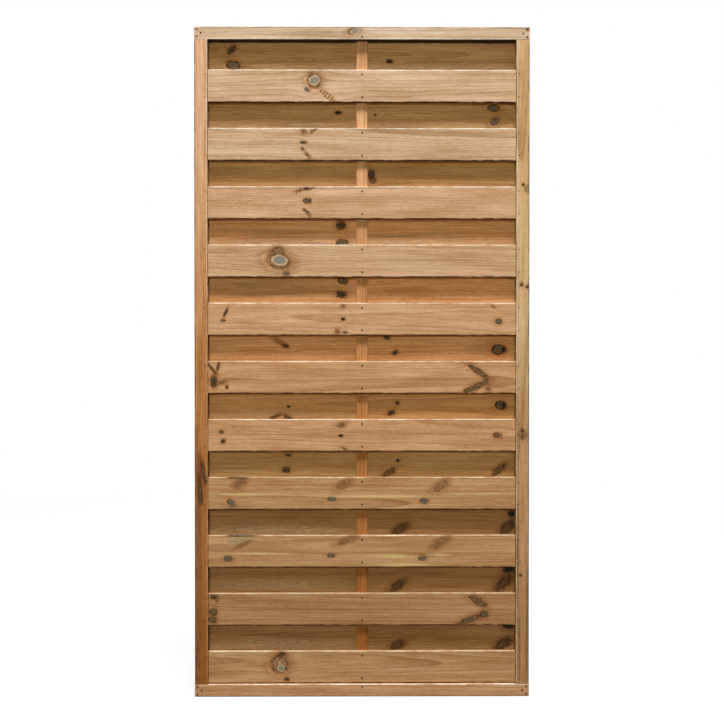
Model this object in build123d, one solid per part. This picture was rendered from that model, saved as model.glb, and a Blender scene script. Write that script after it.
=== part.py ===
from build123d import *
from collections import namedtuple
import os

# Hit-and-miss timber fence panel for one narrow bay between posts.
# Horizontal slats stand in two layers, front and back, half a pitch apart, so that each
# slat covers the gap between two slats of the other layer and the panel can't be seen through.
# A vertical muntin runs between the layers, and two grooved stiles hold the slat ends.
# X runs along the panel, Y from front to back and Z up. The origin is the middle of the bottom edge.
# All sizes are millimetres.

# Outside of the panel
panel_width = 900.0
panel_height = 1800.0

# Frame timber
stile_width = 36.0
rail_height = 34.0
frame_arris = 3.0        # rounding of the long edges of the stiles and rails
cheek_thickness = 5.8    # wood between a stile's groove and its face

# Slats
slats_per_layer = 11
slat_height = 87.0
slat_thickness = 9.0
slat_ease = 1.5          # bevel that eases the long edges of a slat
slat_entry = 15.0        # length of slat end that sits in the stile's groove

# Muntin between the two layers
muntin_width = 30.0
muntin_thickness = 12.0  # also the space between the layers and the thickness of the stile tenons
muntin_ease = 1.2        # bevel that eases the long edges of the muntin
muntin_entry = 15.0      # length of muntin end that sits in the rail

# Clearances
slat_clearance = 0.2     # between a slat and the outer wall of its groove
slat_end_gap = 1.0       # behind the end of a slat
slat_rail_gap = 1.0      # between a rail and the slat beside it
tenon_clearance = 0.1    # on each side of a tenon and of the muntin's end
tenon_setback = 0.5      # from the end of a tenon to the outside of its rail
muntin_end_gap = 1.0     # behind the end of the muntin

# Brads, which are flat wire pins punched below the surface
brad_gauge = 2.0
brad_width = 3.0
brad_set = 1.0           # from the wood's face down to a brad's head
brad_bite = 6.0          # length in the last timber that a brad reaches
slat_brad_inset = 13.0   # from the edge of a slat to its brads
corner_brad_inset = 7.0  # from the edges of a corner joint to its outer brads

# Sizes that follow
slat_seat = muntin_thickness / 2
slat_face = slat_seat + slat_thickness
groove_width = slat_thickness + slat_clearance
groove_depth = slat_entry + slat_end_gap
frame_face = slat_seat + groove_width + cheek_thickness
frame_depth = 2 * frame_face
edge_radius = min(frame_arris, cheek_thickness)
mortise_width = muntin_thickness + 2 * tenon_clearance
mortise_depth = muntin_entry + muntin_end_gap
opening_width = panel_width - 2 * stile_width
opening_height = panel_height - 2 * rail_height
stile_centre = (panel_width - stile_width) / 2
slat_length = opening_width + 2 * slat_entry
slat_brad_x = (opening_width + slat_entry) / 2
pitch = (opening_height - 2 * slat_rail_gap - slat_height) / (slats_per_layer - 0.5)
slat_numbers = range(1, slats_per_layer + 1)

FRONT, BACK = -1, 1
LEFT, RIGHT = -1, 1
BOTTOM, TOP = -1, 1

# Where a brad is driven: its place on a face, the layer it is driven from, how far that face
# stands from the middle plane, and how deep the brad's point goes below the face.
Spot = namedtuple("Spot", "x z layer face reach")


def slat_middle(layer, number):
    """Height of a slat's middle. Slats count from the top, and the back layer is half a pitch higher."""
    lowest = rail_height + slat_rail_gap + slat_height / 2
    half_step = pitch / 2 if layer == BACK else 0.0
    return lowest + half_step + (slats_per_layer - number) * pitch


def rail_middle(end):
    """Height of the middle of the bottom or the top rail."""
    return (panel_height + end * opening_height + end * rail_height) / 2


def slat_brad_heights(layer, number):
    """Heights of the two brads of a slat, near its lower and upper edge."""
    reach = slat_height / 2 - slat_brad_inset
    return [slat_middle(layer, number) + up * reach for up in (BOTTOM, TOP)]


def slat_end_spots(layer, number, side):
    """Brads through a stile's cheek into the slat end behind it."""
    reach = cheek_thickness + slat_clearance + brad_bite
    return [Spot(side * slat_brad_x, z, layer, frame_face, reach) for z in slat_brad_heights(layer, number)]


def muntin_spots(layer, number):
    """Brads through the middle of a slat into the muntin."""
    reach = slat_thickness + brad_bite
    return [Spot(0.0, z, layer, slat_face, reach) for z in slat_brad_heights(layer, number)]


def through_rail_spot(x, z):
    """A brad from the front, through the rail and what stands in its mortise, into the rail's back wall."""
    reach = frame_face + mortise_width / 2 + brad_bite
    return Spot(x, z, FRONT, frame_face, reach)


def corner_spots(side, end):
    """Three brads in a triangle through one corner joint."""
    outer_x = side * (panel_width / 2 - corner_brad_inset)
    rise = rail_height / 2 - corner_brad_inset
    outer = [through_rail_spot(outer_x, rail_middle(end) + up * rise) for up in (BOTTOM, TOP)]
    return outer + [through_rail_spot(side * stile_centre, rail_middle(end))]


def muntin_end_spot(end):
    """The brad that holds one end of the muntin in its rail."""
    inner_edge = rail_middle(end) - end * rail_height / 2
    return through_rail_spot(0.0, inner_edge + end * muntin_entry / 2)


def every(spots_of_slat, layer, *side):
    """The brad spots of all the slats of one layer in one list."""
    return [spot for number in slat_numbers for spot in spots_of_slat(layer, number, *side)]


def wire(spot, head):
    """A straight piece of brad wire from a depth below the face to the brad's point."""
    middle = spot.face - (head + spot.reach) / 2
    return Pos(spot.x, spot.layer * middle, spot.z) * Box(brad_gauge, spot.reach - head, brad_width)


def holes(spots):
    """The holes that brads leave, open at the face."""
    return [wire(spot, 0.0) for spot in spots]


def brads(spots):
    """The brads themselves, as one group of separate solids."""
    return Compound([wire(spot, brad_set) for spot in spots])


def eased_section(width, height, ease):
    """A rectangle with bevelled corners."""
    return chamfer(Rectangle(width, height).vertices(), ease)


def make_slat(layer, number):
    """A planed board with eased long edges, seated on the muntin and on the rib of each stile."""
    section = Plane.YZ * eased_section(slat_thickness, slat_height, slat_ease)
    board = extrude(section, amount=slat_length / 2, both=True)
    board = Pos(0, layer * (slat_seat + slat_face) / 2, slat_middle(layer, number)) * board
    spots = muntin_spots(layer, number)
    for side in (LEFT, RIGHT):
        spots += slat_end_spots(layer, number, side)
    return board - holes(spots)


def make_stile(side):
    """An upright with a groove for each layer of slats, and a tenon as long as the rail is high at each end."""
    section = RectangleRounded(stile_width, frame_depth, edge_radius)
    groove_x = -side * (stile_width - groove_depth) / 2
    for layer in (FRONT, BACK):
        groove_y = layer * (slat_seat + groove_width / 2)
        section -= Pos(groove_x, groove_y) * Rectangle(groove_depth, groove_width)
    stile = Pos(0, 0, rail_height) * extrude(section, amount=opening_height)
    for end in (BOTTOM, TOP):
        tenon_z = rail_middle(end) - end * tenon_setback / 2
        stile += Pos(0, 0, tenon_z) * Box(stile_width, muntin_thickness, rail_height - tenon_setback)
    spots = every(slat_end_spots, FRONT, side) + every(slat_end_spots, BACK, side)
    spots += corner_spots(side, BOTTOM) + corner_spots(side, TOP)
    return Pos(side * stile_centre, 0, 0) * stile - holes(spots)


def make_rail(end):
    """A bar across the whole panel, slotted at both ends for the stile tenons and mortised for the muntin."""
    section = Plane.YZ * RectangleRounded(frame_depth, rail_height, edge_radius)
    rail = Pos(0, 0, rail_middle(end)) * extrude(section, amount=panel_width / 2, both=True)
    slot_length = stile_width + tenon_clearance
    for side in (LEFT, RIGHT):
        slot_x = side * (panel_width - slot_length) / 2
        rail -= Pos(slot_x, 0, rail_middle(end)) * Box(slot_length, mortise_width, rail_height)
    mortise_z = rail_middle(end) - end * (rail_height - mortise_depth) / 2
    rail -= Pos(0, 0, mortise_z) * Box(muntin_width + 2 * tenon_clearance, mortise_width, mortise_depth)
    spots = corner_spots(LEFT, end) + corner_spots(RIGHT, end) + [muntin_end_spot(end)]
    return rail - holes(spots)


def make_muntin():
    """The upright strip between the two layers, with its ends housed in the rails."""
    section = eased_section(muntin_width, muntin_thickness, muntin_ease)
    length = opening_height + 2 * muntin_entry
    strip = Pos(0, 0, (panel_height - length) / 2) * extrude(section, amount=length)
    spots = every(muntin_spots, FRONT) + every(muntin_spots, BACK)
    spots += [muntin_end_spot(BOTTOM), muntin_end_spot(TOP)]
    return strip - holes(spots)


def make_nodes():
    """Every node of the panel by name. Brads of one kind are one node."""
    nodes = {
        "top_rail": make_rail(TOP),
        "bottom_rail": make_rail(BOTTOM),
        "left_stile": make_stile(LEFT),
        "right_stile": make_stile(RIGHT),
        "muntin": make_muntin(),
    }
    for layer, name in ((FRONT, "front"), (BACK, "back")):
        for number in slat_numbers:
            nodes[f"{name}_slat_{number:02d}"] = make_slat(layer, number)
        end_spots = every(slat_end_spots, layer, LEFT) + every(slat_end_spots, layer, RIGHT)
        nodes[f"{name}_slat_end_brads"] = brads(end_spots)
        nodes[f"{name}_muntin_brads"] = brads(every(muntin_spots, layer))
    corners = [corner_spots(side, end) for side in (LEFT, RIGHT) for end in (BOTTOM, TOP)]
    nodes["corner_joint_brads"] = brads([spot for corner in corners for spot in corner])
    nodes["muntin_end_brads"] = brads([muntin_end_spot(BOTTOM), muntin_end_spot(TOP)])
    return nodes


os.makedirs("parts", exist_ok=True)
for node, shape in make_nodes().items():
    export_step(shape, f"parts/{node}.step")
print(f"panel {panel_width:g} x {frame_depth:g} x {panel_height:g} mm, slat pitch {pitch:.2f} mm")
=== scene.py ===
# %% [markdown]
# # A hit-and-miss fence panel in treated pine
# The panel is plain carpentry: two rails, two grooved stiles, a muntin and two staggered layers of slats,
# all held with brads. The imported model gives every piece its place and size. This lesson gives them their
# look: arrises that years of handling have rounded, pits over the brads, growth rings that bend round
# knots, and soft daylight from above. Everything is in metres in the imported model's frame, with the front
# towards -Y.

from collections import namedtuple

import bpy
import numpy as np
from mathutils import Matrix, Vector


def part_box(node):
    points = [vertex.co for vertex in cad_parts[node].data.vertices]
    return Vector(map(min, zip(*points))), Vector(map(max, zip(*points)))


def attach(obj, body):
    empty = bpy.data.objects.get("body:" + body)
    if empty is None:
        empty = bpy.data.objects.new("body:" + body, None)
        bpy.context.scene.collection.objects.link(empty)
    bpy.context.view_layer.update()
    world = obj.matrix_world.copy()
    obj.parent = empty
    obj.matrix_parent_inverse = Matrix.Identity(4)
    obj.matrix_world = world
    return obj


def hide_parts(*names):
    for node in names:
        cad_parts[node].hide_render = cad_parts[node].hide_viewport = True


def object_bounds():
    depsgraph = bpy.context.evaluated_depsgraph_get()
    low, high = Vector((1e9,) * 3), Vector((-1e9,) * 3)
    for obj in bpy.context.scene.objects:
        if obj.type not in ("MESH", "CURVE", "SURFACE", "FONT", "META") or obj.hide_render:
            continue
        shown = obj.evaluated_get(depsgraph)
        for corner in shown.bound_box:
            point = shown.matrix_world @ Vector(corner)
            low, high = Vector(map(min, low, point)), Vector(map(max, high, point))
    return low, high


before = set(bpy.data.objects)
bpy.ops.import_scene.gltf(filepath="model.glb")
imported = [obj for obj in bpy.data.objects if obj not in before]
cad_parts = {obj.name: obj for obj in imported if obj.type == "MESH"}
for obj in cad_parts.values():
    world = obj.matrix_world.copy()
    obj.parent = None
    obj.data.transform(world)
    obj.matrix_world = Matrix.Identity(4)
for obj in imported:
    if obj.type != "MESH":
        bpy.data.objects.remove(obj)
cad_low, cad_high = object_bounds()
MM = 0.001
TO_MM = (1 / MM, 1 / MM, 1 / MM)
print("panel, mm:", [round(side / MM, 1) for side in cad_high - cad_low])

# %% [markdown]
# ## Camera
# The photograph looks straight at the panel from about three metres. It stands a touch left of the middle
# and a touch above it, which makes the top edge slightly wider than the bottom edge. A camera placed by a
# distance and two small angles says this more clearly than three coordinates would.

# %% Camera
CAMERA_DISTANCE = 3.02
CAMERA_AZIMUTH = np.radians(-0.4)
CAMERA_ELEVATION = np.radians(0.6)
CAMERA_LENS = 55.5
AIM_LIFT = 0.0018

scene = bpy.context.scene
aim = (cad_low + cad_high) / 2 + Vector((0.0, 0.0, AIM_LIFT))
towards_camera = Vector((
    np.sin(CAMERA_AZIMUTH) * np.cos(CAMERA_ELEVATION),
    -np.cos(CAMERA_AZIMUTH) * np.cos(CAMERA_ELEVATION),
    np.sin(CAMERA_ELEVATION),
))
camera_data = bpy.data.cameras.new("camera")
camera_data.lens = CAMERA_LENS
camera = bpy.data.objects.new("camera", camera_data)
camera.location = aim + CAMERA_DISTANCE * towards_camera
camera.rotation_euler = (-towards_camera).to_track_quat("-Z", "Y").to_euler()
scene.collection.objects.link(camera)
scene.camera = camera
print("camera at", [round(place, 3) for place in camera.location])

# %% [markdown]
# ## Outlines
# A planed board is one outline carried along a straight path, so its shape is a grid with two parameters:
# the place along the board, and the place round the outline. The arrises, the long edges, are quarter
# circles. To let their size change along the board, each outline point is kept as an anchor on the sharp
# section and a lean: the point is the anchor plus the arris size times the lean.

# %% Outline of a board
ARC_STEPS = 4
WEAR_REACH = 4.0
FACE_WEAR = 0.5
Outline = namedtuple("Outline", "anchor lean stop arris")


def quarter_arc(turn):
    """Lean of the points of a quarter circle that starts at the angle turn: (cos t, sin t) less the
    corner's signs."""
    angle = np.radians(turn + np.linspace(0.0, 90.0, ARC_STEPS + 1))
    signs = np.sign([np.cos(angle.mean()), np.sin(angle.mean())])
    return np.column_stack([np.cos(angle), np.sin(angle)]) - signs


def make_outline(*stops):
    """Closed outline, counter-clockwise. A stop (a, b) is a plain point. A stop (a, b, turn, tone) is an
    arris on that corner, and its tone makes the edge pale at 1, wear and partly a painted highlight, and
    dark at -1, painted shade."""
    leans = [quarter_arc(stop[2]) if len(stop) > 2 else np.zeros((1, 2)) for stop in stops]
    counts = [len(lean) for lean in leans]
    anchor = np.repeat([stop[:2] for stop in stops], counts, axis=0)
    bump = FACE_WEAR + (1 - FACE_WEAR) * np.sin(np.linspace(0.0, np.pi, ARC_STEPS + 1))
    arris = np.concatenate([stop[3] * bump if len(stop) > 2 else np.zeros(1) for stop in stops])
    return Outline(anchor, np.vstack(leans), np.repeat(np.arange(len(stops)), counts), arris)


def rectangle(half_a, half_b, edge_wear_and_shading=(1, 1, 1, 1), high_a=(), high_b=(), low_a=(), low_b=()):
    """Rectangle with four arrises, and plain stops where their wear ends. The lists are more plain stops
    on each side, in counter-clockwise order."""
    in_a, in_b = half_a - WEAR_REACH, half_b - WEAR_REACH
    return make_outline(
        (half_a, -half_b, -90, edge_wear_and_shading[0]), (half_a, -in_b), *high_a, (half_a, in_b),
        (half_a, half_b, 0, edge_wear_and_shading[1]), (in_a, half_b), *high_b, (-in_a, half_b),
        (-half_a, half_b, 90, edge_wear_and_shading[2]), (-half_a, in_b), *low_a, (-half_a, -in_b),
        (-half_a, -half_b, 180, edge_wear_and_shading[3]), (-in_a, -half_b), *low_b, (in_a, -half_b),
    )


print("points of a plain rectangle:", len(rectangle(4.5, 43.5).anchor))

# %% [markdown]
# ## Worn arrises
# No real arris is even. A slow swell comes from the planer, a fine raggedness from the fibres, and a few
# chips from handling. A noise modifier would move the flat faces too. Here only the arris size changes
# along the board, so that the faces stay true and the edges still catch the light unevenly.

# %% Arris size along a board
SWELL_WAVES = np.array([410.0, 97.0, 23.0])
SWELL_SHARE = 0.22
RAGGED_SHARE = 0.14
CHIPS_PER_EDGE = 7
CHIP_WIDTHS = (2.0, 8.0)
CHIP_SHARE = 0.4
MEAN_SHARE = 0.85
LEAST_SHARE, MOST_SHARE = 0.3, 1.2


def worn_arris(along, stops, size, rng):
    """Arris size at each station and stop: the planed size, plus the mean of three sines with random
    phases, plus a random raggedness, plus chips that are bell curves exp(-(distance / width)^2), and
    never over a set share."""
    phase = rng.uniform(0.0, 2 * np.pi, (len(SWELL_WAVES), stops))
    swell = np.sin(2 * np.pi * along[:, None, None] / SWELL_WAVES[:, None] + phase).mean(axis=1)
    ragged = rng.uniform(-1.0, 1.0, (len(along), stops))
    chip_place = rng.uniform(along[0], along[-1], (CHIPS_PER_EDGE, stops))
    chip_width = rng.uniform(*CHIP_WIDTHS, (CHIPS_PER_EDGE, stops))
    chips = np.exp(-(((along[:, None, None] - chip_place) / chip_width) ** 2)).sum(axis=1)
    share = MEAN_SHARE + SWELL_SHARE * swell + RAGGED_SHARE * ragged + CHIP_SHARE * chips
    return size * np.clip(share, LEAST_SHARE, MOST_SHARE)


sample = worn_arris(np.arange(0.0, 40.0, 10.0), 1, 1.5, np.random.default_rng(1))
print("arris, mm:", sample.ravel().round(2))

# %% [markdown]
# ## Boards
# The grid needs a line at each edge of a brad hole, so that a hole is exactly one quad that can be taken
# out and sunk. Cutting with a Boolean would work too, but it leaves long thin triangles. A second line a
# little further out gives the dark stain round the hole its room.

# %% Stations and the swept grid
STATION_STEP = 4.0
CROWDED = 1.7
STAIN_REACH = 1.6
Shell = namedtuple("Shell", "points quads smooth caps arris stain")


def hole_lines(middles, half):
    """Grid lines for holes: each middle plus and minus the half width, and the same a stain's reach
    further out."""
    steps = np.array([-half - STAIN_REACH, -half, half, half + STAIN_REACH])
    return np.sort(np.add.outer(np.asarray(middles, float), steps).ravel())


def stations(low, high, marks=()):
    """Places along a board for its outline: an even run without those that crowd a mark, and the
    marks."""
    run = np.linspace(low, high, round((high - low) / STATION_STEP) + 1)
    marks = np.asarray(marks, float)
    clear = np.abs(run[:, None] - marks).min(axis=1, initial=np.inf) > CROWDED
    return np.sort(np.concatenate([run[clear], marks]))


def sweep(along, outline, arris_size, rng):
    """Carries an outline along a board: point (t, j) is (along t, anchor j + size(t, stop j) * lean j).
    Quads join neighbours, the outline closes on itself, and each end is one polygon."""
    rows, columns = len(along), len(outline.anchor)
    size = worn_arris(along, outline.stop.max() + 1, arris_size, rng)
    grid = np.empty((rows, columns, 3))
    grid[..., 0] = along[:, None]
    grid[..., 1:] = outline.anchor + size[:, outline.stop, None] * outline.lean
    number = np.arange(rows * columns).reshape(rows, columns)
    beside = np.roll(number, -1, axis=1)
    quads = np.stack([number[:-1], beside[:-1], beside[1:], number[1:]], axis=-1).reshape(-1, 4)
    on_arc = outline.stop == np.roll(outline.stop, -1)
    smooth = np.tile(on_arc, rows - 1)
    caps = [number[0, ::-1], number[-1]]
    arris = np.tile(outline.arris, rows)
    return Shell(grid.reshape(-1, 3), quads, smooth, caps, arris, np.zeros(rows * columns))


# %% [markdown]
# ## Brad pits
# A brad gun drives the head about a millimetre under the surface. What shows is a small dark slot with
# the head at its bottom. Each pit is one missing quad with four walls and a floor. The brads themselves
# stay as packed.

# %% Sink the brad pits
BRAD_HALF_GAUGE = 1.15
BRAD_HALF_WIDTH = 1.65
PIT_DEPTH = 1.6
NEAR = 0.3


def pierce(shell, mouths, depth_of_stain=1.0):
    """Sinks a pit wherever a quad's middle is one of the mouths: its corners are copied and moved in
    along the normal, each edge gets a wall between old and new corners, and the new corners are the
    floor."""
    middle = shell.points[shell.quads].mean(axis=1)
    hole = (np.abs(middle[:, None] - np.asarray(mouths)).max(axis=2) < NEAR).any(axis=1)
    rim = shell.quads[hole]
    corners = shell.points[rim]
    inward = np.cross(corners[:, 3] - corners[:, 0], corners[:, 1] - corners[:, 0])
    inward /= np.linalg.norm(inward, axis=1, keepdims=True)
    sunk = (corners + PIT_DEPTH * inward[:, None]).reshape(-1, 3)
    floor = len(shell.points) + np.arange(rim.size).reshape(rim.shape)
    next_rim, next_floor = np.roll(rim, -1, axis=1), np.roll(floor, -1, axis=1)
    walls = np.stack([rim, next_rim, next_floor, floor], axis=-1).reshape(-1, 4)
    quads = np.vstack([shell.quads[~hole], floor, walls])
    smooth = np.concatenate([shell.smooth[~hole], np.zeros(len(floor) + len(walls), bool)])
    stain = np.concatenate([shell.stain, np.full(rim.size, depth_of_stain)])
    stain[rim] = depth_of_stain
    arris = np.concatenate([shell.arris, np.zeros(rim.size)])
    return Shell(np.vstack([shell.points, sunk]), quads, smooth, shell.caps, arris, stain)


# %% [markdown]
# ## From arrays to a piece
# A piece may hold several closed shells, such as a stile and its tenons. Its object stays at the origin
# and its place is in the mesh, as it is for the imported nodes, so that solid textures stay where they are
# put. For an upright the three columns are turned round: along the grain is then Z.

# %% Make a piece
made = {}


def make_piece(node, centre, shells, upright=False):
    """Joins the shells in one mesh, moved to the centre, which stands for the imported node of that
    name."""
    first = np.cumsum([0] + [len(shell.points) for shell in shells])
    points = np.vstack([shell.points for shell in shells])
    points = points[:, [1, 2, 0]] if upright else points
    quads = np.vstack([shell.quads + start for start, shell in zip(first, shells)])
    caps = [cap + start for start, shell in zip(first, shells) for cap in shell.caps]
    mesh = bpy.data.meshes.new(node + "_board")
    mesh.from_pydata((points + centre) * MM, [], quads.tolist() + [cap.tolist() for cap in caps])
    smooth = np.concatenate([shell.smooth for shell in shells] + [np.zeros(len(caps), bool)])
    mesh.polygons.foreach_set("use_smooth", smooth)
    # The arris value is each edge's pale or dark mark: pale is partly wear and partly a painted highlight,
    # dark is painted shade.
    for layer in ("arris", "stain"):
        values = np.concatenate([getattr(shell, layer) for shell in shells])
        mesh.attributes.new(layer, "FLOAT", "POINT").data.foreach_set("value", values.astype(np.float32))
    mesh.update()
    piece = bpy.data.objects.new(node + "_board", mesh)
    scene.collection.objects.link(piece)
    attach(piece, "root")
    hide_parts(node)
    made[node] = piece
    return piece


def box_mm(node):
    """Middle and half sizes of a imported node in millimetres, as arrays."""
    low, high = (np.array(corner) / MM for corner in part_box(node))
    return (low + high) / 2, (high - low) / 2


# %% [markdown]
# ## Slats
# Each slat is a thin board with eased edges. It is pale above, partly from wear and partly a painted
# highlight, and dark below, a painted shade line under the slat. Two brads hold it to the muntin, near its
# lower and upper edge, and their pits are in its outer face: the front of a front slat, the back of a back
# slat.

# %% Slats
SLAT_COUNT = 11
SLAT_ARRIS = 1.5
# Slat edges: the lower ones are dark far past -1, a solid painted shade line under each slat; the upper
# ones are pale, partly a painted highlight.
SLAT_EDGE_WEAR_AND_SHADING = (-2.2, 1, 1, -2.2)
SLAT_BRAD_INSET = 13.0
LAYERS = {"front": -1, "back": 1}


def make_slat(layer, number):
    """A slat with one pair of pits at its middle, in the face that looks away from the muntin."""
    node = f"{layer}_slat_{number:02d}"
    centre, (half_length, half_depth, half_height) = box_mm(node)
    rows = (half_height - SLAT_BRAD_INSET) * np.array([-1, 1])
    lines = hole_lines(rows, BRAD_HALF_WIDTH)
    outer = LAYERS[layer] * half_depth
    stops = [(outer, b) for b in lines]
    sides = {"high_a": stops} if outer > 0 else {"low_a": stops[::-1]}
    outline = rectangle(half_depth, half_height, SLAT_EDGE_WEAR_AND_SHADING, **sides)
    along = stations(-half_length, half_length, hole_lines([0.0], BRAD_HALF_GAUGE))
    rng = np.random.default_rng([number, LAYERS[layer] + 1])
    mouths = [(0.0, outer, row) for row in rows]
    shell = pierce(sweep(along, outline, SLAT_ARRIS, rng), mouths)
    return make_piece(node, centre, [shell])


for layer in LAYERS:
    for number in range(1, SLAT_COUNT + 1):
        make_slat(layer, number)
print("slats:", len(made))

# %% [markdown]
# ## Stiles
# A stile is an upright with a groove for each layer of slats. Its outline is a rectangle with two notches
# in the side that faces the opening. The slat ends are pinned through the cheeks, so both faces carry a
# column of pits. The tenons at its ends stand in the open slots of the rails, and their end grain shows
# on the panel's top edge.

# %% Stiles
FRAME_ARRIS = 3.0
TENON_ARRIS = 0.4
RAIL_HEIGHT = 34.0
TENON_SETBACK = 0.5
HALF_MUNTIN = 6.0
GROOVE_FAR_SIDE = 15.2
GROOVE_DEPTH = 16.0
SLAT_BRAD_X = 421.5
STILE_STAIN = 0.27
STILE_SEED = 40


def groove_stops(inner, floor):
    """Stops of the two notches, from the front to the back: out at the inner face, in at the groove's
    floor."""
    near, far = HALF_MUNTIN, GROOVE_FAR_SIDE
    front = [(inner, -far), (floor, -far), (floor, -near), (inner, -near)]
    return front + [(a, -b) for a, b in front[::-1]]


def make_stile(name, side):
    """A grooved upright with its two tenons, and a column of pits on the front and on the back."""
    node = f"{name}_stile"
    centre, (half_width, half_depth, half_height) = box_mm(node)
    inner = -side * half_width
    column = side * SLAT_BRAD_X - centre[0]
    lines = hole_lines([column], BRAD_HALF_GAUGE)
    notch = groove_stops(inner, inner + side * GROOVE_DEPTH)
    notch_side = {"low_a": notch[::-1]} if side > 0 else {"high_a": notch}
    # Inner arrises pale and outer ones dark: partly wear, partly painted highlight and painted shade.
    outline = rectangle(
        half_width, half_depth, (-side, -side, side, side), **notch_side,
        high_b=[(a, half_depth) for a in lines[::-1]], low_b=[(a, -half_depth) for a in lines],
    )
    mouths = []
    for layer, face in LAYERS.items():
        slat_boxes = [box_mm(f"{layer}_slat_{number:02d}") for number in range(1, SLAT_COUNT + 1)]
        middles = np.array([middle[2] for middle, half in slat_boxes]) - centre[2]
        reach = slat_boxes[0][1][2] - SLAT_BRAD_INSET
        heights = np.concatenate([middles - reach, middles + reach])
        mouths += [(height, column, face * half_depth) for height in heights]
    marks = hole_lines([mouth[0] for mouth in mouths], BRAD_HALF_WIDTH)
    shoulder = half_height + TENON_SETBACK - RAIL_HEIGHT
    rng = np.random.default_rng(STILE_SEED + side)
    post = sweep(stations(-shoulder, shoulder, marks), outline, FRAME_ARRIS, rng)
    shells = [pierce(post, mouths, STILE_STAIN)]
    tenon = rectangle(half_width, HALF_MUNTIN)
    for low, high in ((-half_height, -shoulder), (shoulder, half_height)):
        shells.append(sweep(stations(low, high), tenon, TENON_ARRIS, rng))
    return make_piece(node, centre, shells, upright=True)


for name, side in (("left", -1), ("right", 1)):
    stile = make_stile(name, side)
    print(stile.name, "faces:", len(stile.data.polygons))

# %% [markdown]
# ## Rails
# A rail runs across the whole panel. Its ends are forked, because the slot for the stile's tenon is open
# at the end, above and below. The bar and the four cheeks of the forks are separate shells that meet face
# to face. Three brads in a triangle pin each corner, and one more holds the muntin's end.

# %% Rails
RAIL_ARRIS = 2.0
SLOT_HALF_WIDTH = 6.1
SLOT_LENGTH = 36.1
CORNER_BRAD_INSET = 7.0
STILE_HALF_WIDTH = 18.0
MUNTIN_BRAD_DROP = 9.5
RAIL_SEED = 50


def make_rail(name, end):
    """The bar between the slots, and two cheeks at each end. All the pits are on the front."""
    node = f"{name}_rail"
    centre, (half_length, half_depth, half_height) = box_mm(node)
    bar_end = half_length - SLOT_LENGTH
    rng = np.random.default_rng(RAIL_SEED + end)
    row = -end * MUNTIN_BRAD_DROP
    lines = hole_lines([row], BRAD_HALF_WIDTH)
    # Pale and dark arrises by which way they face: partly wear, partly painted highlight and painted shade.
    edge_wear_and_shading = (end, -end, -end, end)
    bar = rectangle(half_depth, half_height, edge_wear_and_shading, low_a=[(-half_depth, b) for b in lines[::-1]])
    along = stations(-bar_end, bar_end, hole_lines([0.0], BRAD_HALF_GAUGE))
    shells = [pierce(sweep(along, bar, RAIL_ARRIS, rng), [(0.0, -half_depth, row)])]
    rise = half_height - CORNER_BRAD_INSET
    lines = hole_lines([-rise, 0.0, rise], BRAD_HALF_WIDTH)
    front = make_outline(
        (-SLOT_HALF_WIDTH, -half_height), (-SLOT_HALF_WIDTH, half_height),
        (-half_depth, half_height, 90, -end), *[(-half_depth, b) for b in lines[::-1]],
        (-half_depth, -half_height, 180, end),
    )
    back = make_outline(
        (half_depth, -half_height, -90, end), (half_depth, half_height, 0, -end),
        (SLOT_HALF_WIDTH, half_height), (SLOT_HALF_WIDTH, -half_height),
    )
    for side in (-1, 1):
        low, high = sorted([side * bar_end, side * half_length])
        outer = side * (half_length - CORNER_BRAD_INSET)
        inner = side * (half_length - STILE_HALF_WIDTH)
        along = stations(low, high, hole_lines([outer, inner], BRAD_HALF_GAUGE))
        mouths = [(outer, -half_depth, -rise), (outer, -half_depth, rise), (inner, -half_depth, 0.0)]
        shells.append(pierce(sweep(along, front, RAIL_ARRIS, rng), mouths))
        shells.append(sweep(stations(low, high), back, RAIL_ARRIS, rng))
    return make_piece(node, centre, shells)


for name, end in (("top", 1), ("bottom", -1)):
    rail = make_rail(name, end)
    print(rail.name, "faces:", len(rail.data.polygons))

# %% [markdown]
# ## Muntin
# The muntin is a plain strip that runs up between the two layers. Its brads come through the slats, so it
# needs no pits of its own.

# %% Muntin
MUNTIN_ARRIS = 1.2
MUNTIN_SEED = 60
NO_EDGE_WEAR_AND_SHADING = (0, 0, 0, 0)
centre, (half_width, half_depth, half_height) = box_mm("muntin")
outline = rectangle(half_width, half_depth, NO_EDGE_WEAR_AND_SHADING)
rng = np.random.default_rng(MUNTIN_SEED)
strip = sweep(stations(-half_height, half_height), outline, MUNTIN_ARRIS, rng)
muntin = make_piece("muntin", centre, [strip], upright=True)
print(muntin.name, "faces:", len(muntin.data.polygons))

# %% [markdown]
# ## Small helpers for node trees
# A wood shader has many nodes. These helpers keep its recipe readable: each adds one node, links what is
# a socket, sets what is a value, and gives back the output.

# %% Node helpers


def fill(tree, socket, value):
    """Links a socket to an input, or sets the input to a value. None leaves it as it is, and every
    colour is opaque."""
    if isinstance(value, bpy.types.NodeSocket):
        tree.links.new(value, socket)
    elif value is not None:
        socket.default_value = (*value, 1.0) if socket.type == "RGBA" else value


def put(tree, kind, *inputs, **settings):
    """Adds a shader node, sets its properties and fills its inputs in order."""
    node = tree.nodes.new("ShaderNode" + kind)
    for name, value in settings.items():
        setattr(node, name, value)
    for socket, value in zip(node.inputs, inputs):
        fill(tree, socket, value)
    return node


def calc(tree, operation, *inputs):
    """One step of arithmetic."""
    return put(tree, "Math", *inputs, operation=operation).outputs[0]


def plus(tree, *terms):
    """The sum of two numbers."""
    return calc(tree, "ADD", *terms)


def times(tree, *factors):
    """The product of two numbers."""
    return calc(tree, "MULTIPLY", *factors)


def vector_calc(tree, operation, *inputs):
    """One step of vector arithmetic. Lengths and dot products are numbers."""
    node = put(tree, "VectorMath", *inputs, operation=operation)
    return node.outputs["Value" if operation in ("LENGTH", "DOT_PRODUCT") else "Vector"]


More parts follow.
